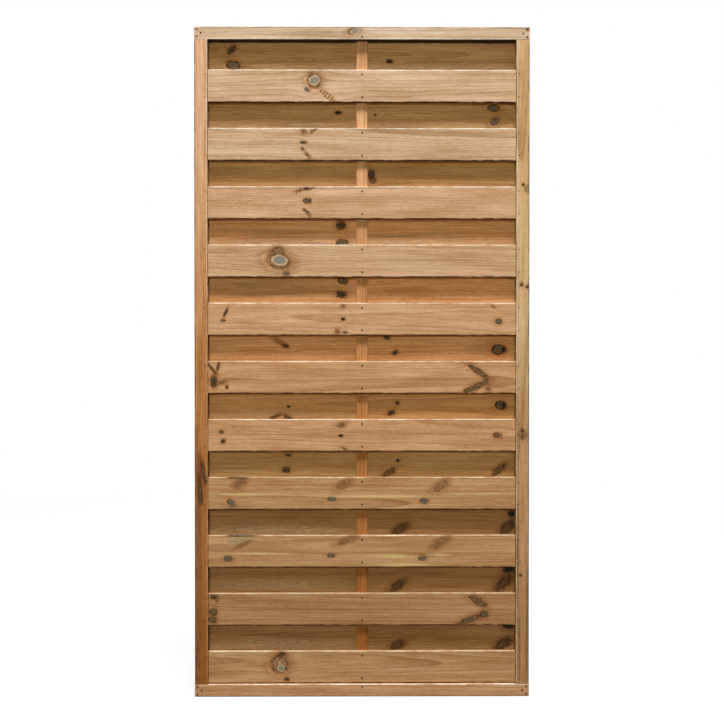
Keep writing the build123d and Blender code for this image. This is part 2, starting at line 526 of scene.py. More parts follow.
def scaled(tree, colour, factor):
    """A colour made brighter or darker by a factor."""
    return vector_calc(tree, "SCALE", colour, None, None, factor)


def blend(tree, share, under, over):
    """One colour laid over another."""
    node = tree.nodes.new("ShaderNodeMix")
    node.data_type = "RGBA"
    fill(tree, node.inputs[0], share)
    fill(tree, node.inputs[6], under)
    fill(tree, node.inputs[7], over)
    return node.outputs[2]


def slope(tree, value, start, stop, low=0.0, high=1.0):
    """A smooth step from low to high while the value goes from start to stop."""
    return put(tree, "MapRange", value, start, stop, low, high, interpolation_type="SMOOTHSTEP").outputs[0]


def streaks(tree, point, along, across, detail=2.0):
    """Noise stretched along the grain: its cells are about that many millimetres long and wide."""
    stretched = vector_calc(tree, "MULTIPLY", point, (1 / along, 1 / across, 1 / across))
    return put(tree, "TexNoise", stretched, None, 1.0, detail, 0.55).outputs[0]


def swing(tree, noise, reach):
    """Noise from 0 to 1 made a number that swings about zero by half the reach."""
    return times(tree, calc(tree, "SUBTRACT", noise, 0.5), reach)


def new_group(name, inputs, outputs):
    """An empty node group, with the sockets of its two ends, which are named by kind."""
    group = bpy.data.node_groups.new(name, "ShaderNodeTree")
    for in_out, sockets in (("INPUT", inputs), ("OUTPUT", outputs)):
        for kind, labels in sockets.items():
            for label in labels.split():
                group.interface.new_socket(label, in_out=in_out, socket_type="NodeSocket" + kind)
    return group, group.nodes.new("NodeGroupInput").outputs, group.nodes.new("NodeGroupOutput").inputs


def new_material(name):
    """A material made of nodes, and its node tree."""
    material = bpy.data.materials.new(name)
    material.use_nodes = True
    return material, material.node_tree


def use_group(tree, group, **inputs):
    """Adds a group to a tree and fills its inputs by name."""
    node = tree.nodes.new("ShaderNodeGroup")
    node.node_tree = group
    for label, value in inputs.items():
        fill(tree, node.inputs[label], value)
    return node.outputs


# %% [markdown]
# ## Growth rings
# Pine shows pale early wood and a dark line of late wood for each year. A board is a slice through nested
# cylinders round the pith, so the distance from a slanting pith line, divided by the width of a year,
# gives lines on a face that lies square to the rings and long pointed arches where the face runs along
# them. It is a solid pattern, so the end grain comes out right too. A flat wood texture would repeat on
# each face and stop at its edges.

# %% Pine group
# Length and width in millimetres of the cells of each pattern in the grain. Waves and clouds also have
# their reach: a wave bends the rings by millimetres, and a cloud changes the light by a share.
WAVES = [(320.0, 60.0, 16.0), (60.0, 9.0, 2.4)]
CLOUDS = [(210.0, 26.0, 0.95), (100.0, 2.8, 0.75), (14.0, 2.4, 0.55)]
FIBRE, FLECK, PLANED = (26.0, 0.9), (22.0, 1.1), (40.0, 5.0)
FIBRE_SWING, FLECK_DROP = 0.6, 0.2
UNEVEN_RUN, UNEVEN_YEARS = 9.0, 2.2
LATE_POWER = 2.2
LATE_ENDS = 0.93
PALEST_YEAR = 0.3
PLANER_STEP = 5.0
SHADE_POWERS = (0.7, 1.0, 1.45)
EARLY_ROUGHNESS, LATE_ROUGHNESS = 0.72, 0.55


def make_pine():
    """Colour, roughness and height of pine: rings by distance from the pith, with slow and fine waves in
    the grain, years of uneven width and darkness, cloudy patches, and short dark fibres. Darker wood is
    also redder: light is raised to a lower power for red and to a higher one for blue."""
    inputs = {"Vector": "Point Seed Pith Drift", "Float": "Push Year Planer", "Color": "Early Late"}
    outputs = {"Color": "Colour", "Float": "Roughness Height"}
    group, given, result = new_group("pine", inputs, outputs)
    grain = vector_calc(group, "ADD", given["Point"], given["Seed"])
    along = put(group, "SeparateXYZ", given["Point"]).outputs[0]
    pith = vector_calc(group, "ADD", given["Pith"], scaled(group, given["Drift"], along))
    place = put(group, "SeparateXYZ", vector_calc(group, "SUBTRACT", given["Point"], pith)).outputs
    across = plus(group, place[2], given["Push"])
    for length, width, reach in WAVES:
        across = plus(group, across, swing(group, streaks(group, grain, length, width), reach))
    radius = vector_calc(group, "LENGTH", put(group, "CombineXYZ", 0.0, place[1], across).outputs[0])
    run = calc(group, "DIVIDE", radius, UNEVEN_RUN)
    uneven = put(group, "TexNoise", None, run, 1.0, 1.0, noise_dimensions="1D").outputs[0]
    years = calc(group, "DIVIDE", radius, given["Year"])
    years = plus(group, years, swing(group, uneven, UNEVEN_YEARS))
    season = calc(group, "FRACT", years)
    this_year = calc(group, "FLOOR", years)
    dark_year = put(group, "TexWhiteNoise", None, this_year, noise_dimensions="1D").outputs[0]
    rise = calc(group, "POWER", season, LATE_POWER)
    late = times(group, rise, slope(group, season, 1.0, LATE_ENDS))
    late = times(group, late, slope(group, dark_year, 0.0, 1.0, PALEST_YEAR, 1.0))
    fibre = streaks(group, grain, *FIBRE, 3.0)
    fleck = slope(group, streaks(group, grain, *FLECK, 1.0), 0.66, 0.74)
    marks = calc(group, "SINE", times(group, along, 2 * np.pi / PLANER_STEP))
    patchy = slope(group, streaks(group, grain, *PLANED), 0.4, 0.6)
    marks = times(group, marks, times(group, given["Planer"], patchy))
    colour = blend(group, late, given["Early"], given["Late"])
    light = 1.0
    for length, width, reach in CLOUDS:
        light = plus(group, light, swing(group, streaks(group, grain, length, width), reach))
    light = plus(group, light, swing(group, fibre, FIBRE_SWING))
    light = calc(group, "SUBTRACT", light, times(group, fleck, FLECK_DROP))
    light = plus(group, light, marks)
    powers = [calc(group, "POWER", light, power) for power in SHADE_POWERS]
    shade = put(group, "CombineXYZ", *powers).outputs[0]
    fill(group, result["Colour"], vector_calc(group, "MULTIPLY", colour, shade))
    roughness = slope(group, late, 0.0, 1.0, EARLY_ROUGHNESS, LATE_ROUGHNESS)
    fill(group, result["Roughness"], roughness)
    height = plus(group, times(group, late, 0.5), times(group, fibre, 0.5))
    fill(group, result["Height"], plus(group, height, marks))
    return group


pine_group = make_pine()
print("pine nodes:", len(pine_group.nodes))

# %% [markdown]
# ## Knots
# A knot is the foot of a branch. The grain flows round it as water flows round a pile, and that flow has
# a known formula: past a round pile, a stream line keeps its distance less the pile's share, distance / r
# squared. Adding this push to the place across the grain, before the rings are worked out, bends every
# ring round every knot. A knot's own colours go on afterwards, in bands by its radius: heart, rings, dark
# rim and a warm halo.

# %% Knot groups
# Places in a knot are counted in its own radii: its rim is at 1
PUSH_SOFTENING = 0.35
HALO_ENDS, HALO_FULL = 2.3, 0.8
HALO_FIBRES = (15.0, 2.2)
RIM_STARTS, RIM_FULL = 0.66, 0.78
RIM_BREAKS = (16.0, 16.0)
CORE_BLUR = 0.07
RING_RATE, BAR_RATE = 15.0, 19.0
STROKE_STRETCH, STROKE_SHIFT = (1.0, 1.0, 2.0), (7.0, 7.0, 7.0)
BLOTCH_DARK, BLOTCH_PALE = -0.5, 0.45
CRESCENT_SIDE = (-0.8, 0.0, -0.6)
CRESCENT_GAIN = 0.3


def make_knot_push():
    """The push that one knot gives the grain, added to that of the knots before it, and the place in the
    knot's own axes, where its rim is at radius 1: push = -across / (r * r + a little)."""
    inputs = {"Vector": "Point Centre Radii", "Float": "Push Turn"}
    group, given, result = new_group("knot push", inputs, {"Float": "Push", "Vector": "Local"})
    offset = vector_calc(group, "SUBTRACT", given["Point"], given["Centre"])
    turned = put(group, "VectorRotate", offset, None, None, given["Turn"], rotation_type="Y_AXIS")
    local = vector_calc(group, "DIVIDE", turned.outputs[0], given["Radii"])
    square = vector_calc(group, "DOT_PRODUCT", local, local)
    across = put(group, "SeparateXYZ", offset).outputs[2]
    share = calc(group, "DIVIDE", across, plus(group, square, PUSH_SOFTENING))
    fill(group, result["Push"], calc(group, "SUBTRACT", given["Push"], share))
    fill(group, result["Local"], local)
    return group


def make_knot_colours():
    """Lays one knot over the wood: a halo that tints it along its fibres, a pale crescent on one side,
    then bands by a ragged radius, with rings and strokes inside, and cross bars on a branch that the saw
    has cut along its length."""
    inputs = {
        "Vector": "Point Local", "Color": "Colour Heart Body Rim Halo",
        "Float": "Core Glow Soft Ragged Stripes Cover",
    }
    group, given, result = new_group("knot colours", inputs, {"Color": "Colour"})
    own = vector_calc(group, "ADD", given["Local"], scaled(group, given["Point"], 0.02))
    noise = put(group, "TexNoise", own, None, 2.0, 3.0, 0.55).outputs[0]
    stroke = vector_calc(group, "MULTIPLY_ADD", own, STROKE_STRETCH, STROKE_SHIFT)
    blotch = put(group, "TexNoise", stroke, None, 2.2, 2.0, 0.55).outputs[0]
    ragged = times(group, swing(group, noise, 1.0), given["Ragged"])
    radius = plus(group, vector_calc(group, "LENGTH", given["Local"]), ragged)
    fibrous = slope(group, streaks(group, given["Point"], *HALO_FIBRES), 0.36, 0.6, 0.4, 1.0)
    glow = times(group, fibrous, given["Glow"])
    halo = times(group, slope(group, radius, HALO_ENDS, HALO_FULL), glow)
    tinted = vector_calc(group, "MULTIPLY", given["Colour"], given["Halo"])
    colour = blend(group, halo, given["Colour"], tinted)
    ring = times(group, slope(group, radius, 1.0, 1.15), slope(group, radius, 1.5, 1.3))
    side = slope(group, vector_calc(group, "DOT_PRODUCT", given["Local"], CRESCENT_SIDE), 0.1, 0.9)
    crescent = times(group, times(group, ring, side), given["Glow"])
    colour = scaled(group, colour, calc(group, "MULTIPLY_ADD", crescent, CRESCENT_GAIN, 1.0))
    wave = calc(group, "SINE", times(group, radius, RING_RATE))
    inside = scaled(group, given["Body"], slope(group, wave, -1.0, 1.0, 0.75, 1.08))
    heart = scaled(group, given["Heart"], slope(group, wave, -1.0, 1.0, 0.86, 1.1))
    core = [plus(group, given["Core"], step) for step in (CORE_BLUR, -CORE_BLUR)]
    inside = blend(group, slope(group, radius, *core), inside, heart)
    broken = slope(group, streaks(group, given["Point"], *RIM_BREAKS), 0.4, 0.52, 0.2, 1.0)
    rim = times(group, slope(group, radius, RIM_STARTS, RIM_FULL), broken)
    inside = blend(group, rim, inside, given["Rim"])
    along = put(group, "SeparateXYZ", given["Local"]).outputs[0]
    bars = slope(group, calc(group, "SINE", times(group, along, BAR_RATE)), -0.4, 0.4, -0.4, 0.3)
    barred = times(group, bars, given["Stripes"])
    inside = scaled(group, inside, plus(group, 1.0, barred))
    blotch = slope(group, blotch, 0.36, 0.64, BLOTCH_DARK, BLOTCH_PALE)
    blotched = times(group, blotch, calc(group, "MINIMUM", given["Ragged"], 1.0))
    inside = scaled(group, inside, plus(group, 1.0, blotched))
    edge_out = plus(group, 1.0, given["Soft"])
    edge_in = calc(group, "SUBTRACT", 1.0, given["Soft"])
    cover = times(group, slope(group, radius, edge_out, edge_in), given["Cover"])
    fill(group, result["Colour"], blend(group, cover, colour, inside))
    return group


push_group = make_knot_push()
knot_colour_group = make_knot_colours()
print("knot nodes:", len(push_group.nodes) + len(knot_colour_group.nodes))

# %% [markdown]
# ## Wear, painted highlights and painted shade
# Last come the marks of making and use, with painted light among them. Arrises are pale where they are
# rubbed, and that pale is partly a painted highlight on edges that face the light. Dark arrises are painted
# shade, a dark line along edges that the light misses, such as under each slat. End grain is darker, as it
# drinks more of the treatment. Undersides are darkened as painted shade and lose most of their gloss. Last
# comes the blue-black stain that steel leaves in wet wood round a brad.

# %% Wear group
# Pale arrises: rubbed wear, and partly a painted highlight where an edge faces the light.
RUB_AND_HIGHLIGHT_GAIN = (1.5, 2.4, 3.8)
RUB_AND_HIGHLIGHT_MOST = (0.95, 0.86, 0.70)
EDGE_WEAR_AND_SHADING_BREAKS = (28.0, 6.0)
WOOD_GLOSS = 0.15
# Painted shade: faces that look down are darkened to a share of their colour and lose most of their gloss.
PAINTED_SHADE_STARTS, PAINTED_SHADE_FULL = -0.8, -0.97
PAINTED_SHADE_LIGHT, END_LIGHT = 0.13, 0.62
# Dark arrises: painted shade, a dark line along edges that the light does not reach.
DARK_EDGE_AND_PAINTED_SHADE = (0.07, 0.029, 0.009)
IRON_STAIN = (0.016, 0.012, 0.010)


def make_wear():
    """Pale or dark arrises, broken up by noise: the pale ones are partly a painted highlight, and the dark
    ones are painted shade. Then darker end grain, then painted shade with less gloss on undersides, then
    the stain round the brads."""
    inputs = {"Color": "Colour", "Vector": "Point", "Float": "Arris Stain End Up"}
    group, given, result = new_group("wear", inputs, {"Color": "Colour", "Float": "Gloss"})
    broken = slope(group, streaks(group, given["Point"], *EDGE_WEAR_AND_SHADING_BREAKS), 0.35, 0.6, 0.25, 1.0)
    edge_wear_and_shading = times(group, given["Arris"], broken)
    # Painted shade: a factor of 1 on most faces, falling to a small share on faces that look down.
    painted_shade_factor = slope(group, given["Up"], PAINTED_SHADE_STARTS, PAINTED_SHADE_FULL, 1.0, PAINTED_SHADE_LIGHT)
    # Pale edge colour: rubbed wear, and partly a painted highlight.
    rub_and_highlight = vector_calc(group, "MULTIPLY", given["Colour"], RUB_AND_HIGHLIGHT_GAIN)
    rub_and_highlight = vector_calc(group, "MINIMUM", rub_and_highlight, RUB_AND_HIGHLIGHT_MOST)
    pale = calc(group, "MAXIMUM", times(group, edge_wear_and_shading, painted_shade_factor), 0.0)
    colour = blend(group, pale, given["Colour"], rub_and_highlight)
    # Negative edge values lay on the dark edge colour, painted shade along the lower edges.
    dark = calc(group, "MAXIMUM", times(group, edge_wear_and_shading, -1.0), 0.0)
    colour = blend(group, dark, colour, DARK_EDGE_AND_PAINTED_SHADE)
    darker = slope(group, given["End"], 0.6, 0.9, 1.0, END_LIGHT)
    colour = scaled(group, colour, times(group, darker, painted_shade_factor))
    fill(group, result["Gloss"], times(group, painted_shade_factor, WOOD_GLOSS))
    stain = slope(group, given["Stain"], 0.1, 0.7)
    fill(group, result["Colour"], blend(group, stain, colour, IRON_STAIN))
    return group


wear_group = make_wear()
print("wear nodes:", len(wear_group.nodes))

# %% [markdown]
# ## Tones and knots of each board
# The boards come from different logs and took up the treatment differently, so each has one of a few
# tones. The knots are listed one by one: a kind, millimetres along the board from its middle and across it,
# half length, half width, and for some a turn in degrees. A bark ring lies round a pale heart, a ringed
# knot has an olive heart, a dead one is dark, a spike or a brush is a branch cut along its length, a star
# is torn fibres, and a stain is a branch just under the surface. Long thin ones stand for cracks and
# streaks, and broad soft ones for patches that are paler or darker.

# %% Tones
TONES = {
    "bleached": ((0.61, 0.43, 0.267), (0.385, 0.243, 0.123)),
    "sand": ((0.615, 0.385, 0.17), (0.375, 0.212, 0.076)),
    "straw": ((0.605, 0.396, 0.222), (0.37, 0.218, 0.099)),
    "wheat": ((0.61, 0.372, 0.19), (0.37, 0.202, 0.084)),
    "honey": ((0.645, 0.37, 0.18), (0.397, 0.20, 0.076)),
    "amber": ((0.615, 0.332, 0.15), (0.376, 0.174, 0.064)),
    "tan": ((0.545, 0.298, 0.126), (0.323, 0.153, 0.051)),
    "nut": ((0.463, 0.243, 0.10), (0.28, 0.131, 0.043)),
    "umber": ((0.422, 0.215, 0.076), (0.255, 0.12, 0.036)),
    "chestnut": ((0.55, 0.298, 0.108), (0.33, 0.162, 0.05)),
    "ginger": ((0.66, 0.338, 0.117), (0.41, 0.185, 0.054)),
    "russet": ((0.74, 0.365, 0.142), (0.462, 0.193, 0.06)),
    "orange": ((0.68, 0.40, 0.205), (0.47, 0.24, 0.10)),
    "copper": ((0.63, 0.335, 0.143), (0.433, 0.199, 0.066)),
    "sienna": ((0.55, 0.237, 0.069), (0.344, 0.126, 0.028)),
    "tobacco": ((0.345, 0.12, 0.022), (0.224, 0.069, 0.011)),
}
FRONT_TONES = ["straw", "straw", "wheat", "wheat", "honey", "amber", "amber", "tan", "tan", "nut", "tan"]
BACK_TONES = [
    "chestnut", "chestnut", "chestnut", "russet", "russet", "russet", "ginger", "chestnut",
    "umber", "umber", "umber",
]

# %% Kinds of knot
KNOT_LOOKS = "Heart Body Rim Halo Core Glow Soft Ragged Stripes Cover"
KnotKind = namedtuple("KnotKind", KNOT_LOOKS, defaults=(0, 1))
NO_HALO = (1.0, 1.0, 1.0)


def patch(colour, halo=NO_HALO, glow=0.0, soft=0.9, ragged=0.6, cover=0.5):
    """A mark of one colour throughout, with no heart and no rim of its own."""
    return KnotKind(colour, colour, colour, halo, 0.5, glow, soft, ragged, Cover=cover)


KNOT_KINDS = {
    "heart": KnotKind(
        (0.24, 0.222, 0.155), (0.66, 0.50, 0.32), (0.44, 0.28, 0.14), NO_HALO,
        Core=0.74, Glow=0.0, Soft=0.1, Ragged=0.3,
    ),
    "bark": KnotKind(
        (0.40, 0.23, 0.105), (0.32, 0.172, 0.072), (0.12, 0.052, 0.018), (0.60, 0.44, 0.29),
        Core=0.3, Glow=1.0, Soft=0.22, Ragged=0.6, Cover=0.95,
    ),
    "ringed": KnotKind(
        (0.125, 0.09, 0.045), (0.19, 0.113, 0.046), (0.035, 0.015, 0.005), (0.72, 0.54, 0.38),
        Core=0.5, Glow=0.9, Soft=0.15, Ragged=0.6,
    ),
    "grey": KnotKind(
        (0.13, 0.105, 0.072), (0.18, 0.12, 0.068), (0.07, 0.04, 0.018), (0.74, 0.60, 0.45),
        Core=0.5, Glow=0.8, Soft=0.3, Ragged=1.3,
    ),
    "dead": KnotKind(
        (0.05, 0.034, 0.017), (0.11, 0.065, 0.028), (0.035, 0.015, 0.005), (0.66, 0.50, 0.36),
        Core=0.45, Glow=1.0, Soft=0.3, Ragged=1.4,
    ),
    "black": KnotKind(
        (0.012, 0.009, 0.005), (0.03, 0.018, 0.008), (0.03, 0.014, 0.005), (0.62, 0.47, 0.33),
        Core=0.5, Glow=0.9, Soft=0.3, Ragged=0.9,
    ),
    "spike": KnotKind(
        (0.14, 0.074, 0.026), (0.19, 0.10, 0.036), (0.045, 0.02, 0.007), (0.64, 0.49, 0.35),
        Core=0.3, Glow=1.0, Soft=0.25, Ragged=1.3,
    ),
    "brush": KnotKind(
        (0.14, 0.074, 0.026), (0.08, 0.038, 0.013), (0.07, 0.034, 0.012), (0.58, 0.46, 0.32),
        Core=0.4, Glow=1.0, Soft=0.35, Ragged=1.6, Cover=0.9,
    ),
    "star": KnotKind(
        (0.17, 0.075, 0.026), (0.26, 0.13, 0.052), (0.34, 0.185, 0.082), (0.66, 0.50, 0.36),
        Core=0.4, Glow=0.9, Soft=0.45, Ragged=2.0, Cover=0.95,
    ),
    "striped": KnotKind(
        (0.46, 0.27, 0.12), (0.44, 0.24, 0.10), (0.40, 0.21, 0.08), (0.80, 0.64, 0.48),
        Core=0.2, Glow=0.5, Soft=0.2, Ragged=0.4, Stripes=1,
    ),
    "stain": patch((0.24, 0.125, 0.048), (0.64, 0.50, 0.36), glow=1.0, soft=0.95, ragged=1.0, cover=0.7),
    # A shade patch darkens the wood; low on some back slats it is painted shade.
    "shade": patch((0.29, 0.18, 0.085)),
    "bloom": patch((0.62, 0.42, 0.24)),
    "crack": patch((0.14, 0.066, 0.024), soft=0.5, cover=0.6),
    "olive": KnotKind(
        (0.36, 0.30, 0.14), (0.38, 0.31, 0.15), (0.36, 0.29, 0.14), (0.90, 0.90, 0.70),
        Core=0.5, Glow=0.3, Soft=0.8, Ragged=0.8, Cover=0.7,
    ),
    "streak": patch((0.84, 0.67, 0.26), soft=0.8, cover=0.6),
}

# %% Knots of the front slats
FRONT_KNOTS = [
    [("bark", -128, 15, 19, 22), ("heart", -128, 15, 16, 12, 18), ("grey", -148, -10, 7, 5, -30),
     ("striped", -94, -25, 27, 8, -38), ("crack", 70, -14, 90, 0.8, -2)],
    [("star", -158, 34, 8, 8), ("star", -131, 36, 14, 4, 40), ("dead", -158, 5, 9, 4),
     ("grey", -160, -12, 5, 4, -40), ("star", -146, -29, 13, 5, -45)],
    [("star", -168, 33, 14, 5, 20), ("star", -136, 38, 10, 3, 20), ("dead", -150, 38, 8, 4),
     ("ringed", -150, 5, 9, 7), ("dead", -139, 5, 3, 6), ("dead", -156, -19, 4, 3),
     ("grey", -147, -26, 8, 4, -40), ("star", -143, -34, 7, 3, -35)],
    [("bark", -228, 24, 18, 14, 30), ("bark", -224, 0, 32, 21, -8), ("heart", -222, 2, 22, 14, -8),
     ("grey", -204, -34, 9, 6), ("crack", 170, 2, 150, 0.8)],
    [("dead", -367, 17, 13, 4, 65), ("ringed", -374, -4, 7, 4), ("star", -51, 35, 7, 6, 20),
     ("black", -51, 0, 6, 4), ("star", -66, -33, 8, 7), ("grey", -46, -36, 7, 4),
     ("ringed", 368, -6, 9, 8), ("star", 353, 34, 7, 3, -30)],
    [("spike", -404, 23, 18, 4, -50), ("spike", -387, 28, 12, 4, 80), ("dead", -399, -11, 9, 17),
     ("star", -378, -14, 12, 5, 10), ("dead", -364, -27, 4, 5), ("spike", 313, 16, 32, 8, -33),
     ("spike", 302, -28, 33, 8, 24), ("ringed", 333, -12, 7, 7), ("star", 340, -30, 8, 8)],
    [("ringed", -379, 9, 7, 5), ("dead", -374, -16, 7, 6, 40), ("black", -57, -1, 6, 4),
     ("star", -55, 28, 14, 8, 20), ("star", -47, -37, 10, 4, -30), ("ringed", 363, 0, 10, 7),
     ("star", 374, -3, 4, 6), ("crack", -250, 3, 120, 0.8)],
    [("stain", -330, 26, 18, 11, 40), ("star", -326, 30, 12, 6, 45), ("dead", -335, 42, 30, 2),
     ("grey", -353, -26, 13, 8, -35), ("grey", -82, -14, 11, 7), ("stain", -48, 24, 22, 10, 35),
     ("grey", 167, -21, 12, 8), ("stain", 212, 20, 24, 11, 40), ("streak", -327, -2, 95, 2.5),
     ("streak", 60, -8, 150, 3), ("streak", 310, -1, 110, 2)],
    [("olive", -333, 30, 30, 10, 15), ("stain", -322, 18, 18, 5, 25), ("dead", -325, 42, 42, 2),
     ("grey", -361, -20, 12, 8), ("grey", -84, -11, 11, 6), ("stain", -40, 30, 27, 8, 25),
     ("grey", 162, -19, 12, 7), ("stain", 210, 22, 26, 10, 35), ("streak", -282, -6, 70, 2),
     ("streak", 87, -14, 55, 4), ("streak", 113, -36, 60, 3), ("streak", 208, -10, 25, 3)],
    [("dead", -400, 33, 9, 6), ("star", -391, 24, 8, 4, 80), ("ringed", -401, -7, 12, 10),
     ("ringed", -403, -28, 11, 9, -20), ("spike", 313, 21, 26, 10, -32), ("spike", 291, -29, 30, 8, 22),
     ("ringed", 329, -14, 11, 9), ("crack", -180, -1, 200, 1.0)],
    [("bark", -223, 9, 25, 25), ("heart", -218, -3, 10, 9), ("dead", -215, 36, 10, 5),
     ("dead", -203, -33, 7, 5)],
]

# %% Knots of the back slats
BACK_KNOTS = [
    # The broad shade bands low on back slats 1, 2 and 7 are painted shade, where the lamp still reaches
    # under the front slat.
    [("shade", 0, -26, 430, 16), ("shade", 230, -20, 210, 16), ("dead", -352, 23, 15, 8, 45),
     ("ringed", -348, -18, 20, 13, -10), ("black", 74, -7, 9, 6)],
    [("shade", 0, -26, 430, 16), ("black", -65, 11, 9, 5), ("ringed", 356, 24, 17, 10),
     ("grey", 359, -13, 13, 9, 30), ("dead", 36, 5, 3, 3)],
    [("dead", 26, 2, 9, 13, 10), ("ringed", 29, -16, 9, 8)],
    [("bloom", 0, -28, 430, 13), ("shade", -260, 3, 140, 6, -1), ("shade", 120, -9, 100, 4, 2),
     ("dead", -57, 20, 14, 12), ("ringed", -54, -26, 17, 9)],
    [("shade", -280, 14, 150, 18), ("shade", -230, -8, 120, 5, 2), ("ringed", -52, 26, 15, 10),
     ("dead", -56, -11, 14, 10)],
    [("stain", -225, 18, 18, 6, -30), ("dead", -206, 6, 8, 5), ("dead", 67, 31, 9, 7, -30),
     ("dead", 90, -12, 8, 6, 30), ("ringed", 369, -4, 18, 15), ("black", 385, -4, 6, 7)],
    [("shade", -240, -24, 190, 13), ("black", -199, -2, 5, 3), ("brush", -201, -32, 12, 6, -30),
     ("brush", -237, -30, 16, 4, 20), ("dead", 96, 8, 6, 5), ("dead", 79, -19, 11, 7, 20),
     ("ringed", 376, 2, 16, 13), ("black", 385, 1, 5, 7)],
    [("dead", -200, 23, 8, 4), ("dead", -206, -17, 11, 8), ("black", 97, 8, 5, 4),
     ("spike", 74, -24, 18, 7, 30), ("spike", 372, -17, 23, 8, 42)],
    [("bloom", -230, -22, 170, 15), ("black", 407, 20, 12, 9), ("brush", 104, -21, 24, 11, 30),
     ("brush", 396, -16, 26, 13, 42)],
    [("bloom", -240, -14, 170, 12), ("brush", 97, -19, 24, 11, 35), ("black", 400, 26, 18, 10, 20),
     ("brush", 385, -12, 30, 13, 40)],
    [("bloom", -230, -20, 170, 13), ("brush", 97, -24, 20, 11, 25), ("black", 398, 29, 16, 10),
     ("brush", 382, -22, 26, 12, 30)],
]

# %% Knots of the frame
LEFT_STILE_KNOTS = [
    ("stain", -580, 8, 330, 5), ("brush", -295, -6, 35, 6, 10), ("brush", -342, 3, 42, 6, 6),
]
RIGHT_STILE_KNOTS = [
    ("dead", 478, -1, 4, 4), ("bark", 466, -13, 9, 7), ("ringed", 210, 3, 6, 5), ("dead", 204, -14, 5, 6),
    ("star", -197, 0, 12, 13), ("dead", -183, 0, 5, 4), ("dead", -573, 5, 4, 4),
    ("stain", -700, -12, 130, 2), ("stain", -520, 12, 120, 2), ("stain", -760, 8, 60, 2),
]
TOP_RAIL_KNOTS = [("bark", -24, 5, 17, 9, 15), ("heart", -18, 5, 12, 8, 15), ("star", 446, 13, 6, 5, 30)]

# %% [markdown]
# ## One material for each board
# Every board gets its own pith, its own seed and its own knots, chained one after another: first all
# their pushes, then the rings, then all their colours. The bump is shallow, a fraction of a millimetre,
# as it is on planed wood.

# %% Board materials
QUARTER_TURN = np.pi / 2
BUMP_STRENGTH, BUMP_DEPTH = 0.6, 0.0004
PITH_DEPTHS, PITH_SPREAD = (25.0, 80.0), 70.0
DRIFT_SPREAD = 0.02
YEAR_WIDTHS = (4.0, 7.5)
SEED_SPREAD = 9000.0
THROUGH = 1000.0
BACK_SEED, FRAME_SEED = 100, 200
ARCHED_BACK_SLATS = (1,)
ARCHED_PITH = (0.0, 12.0, -3.0)
ARCHED_DRIFT = (0.0, 0.035, 0.004)
# How far round the arris the painted shade on a stile's inner side reaches.
CORNER_SHADE_REACH = 1.4


def surface_value(tree, name):
    """A value that the mesh carries at its points."""
    return put(tree, "Attribute", attribute_name=name).outputs["Fac"]


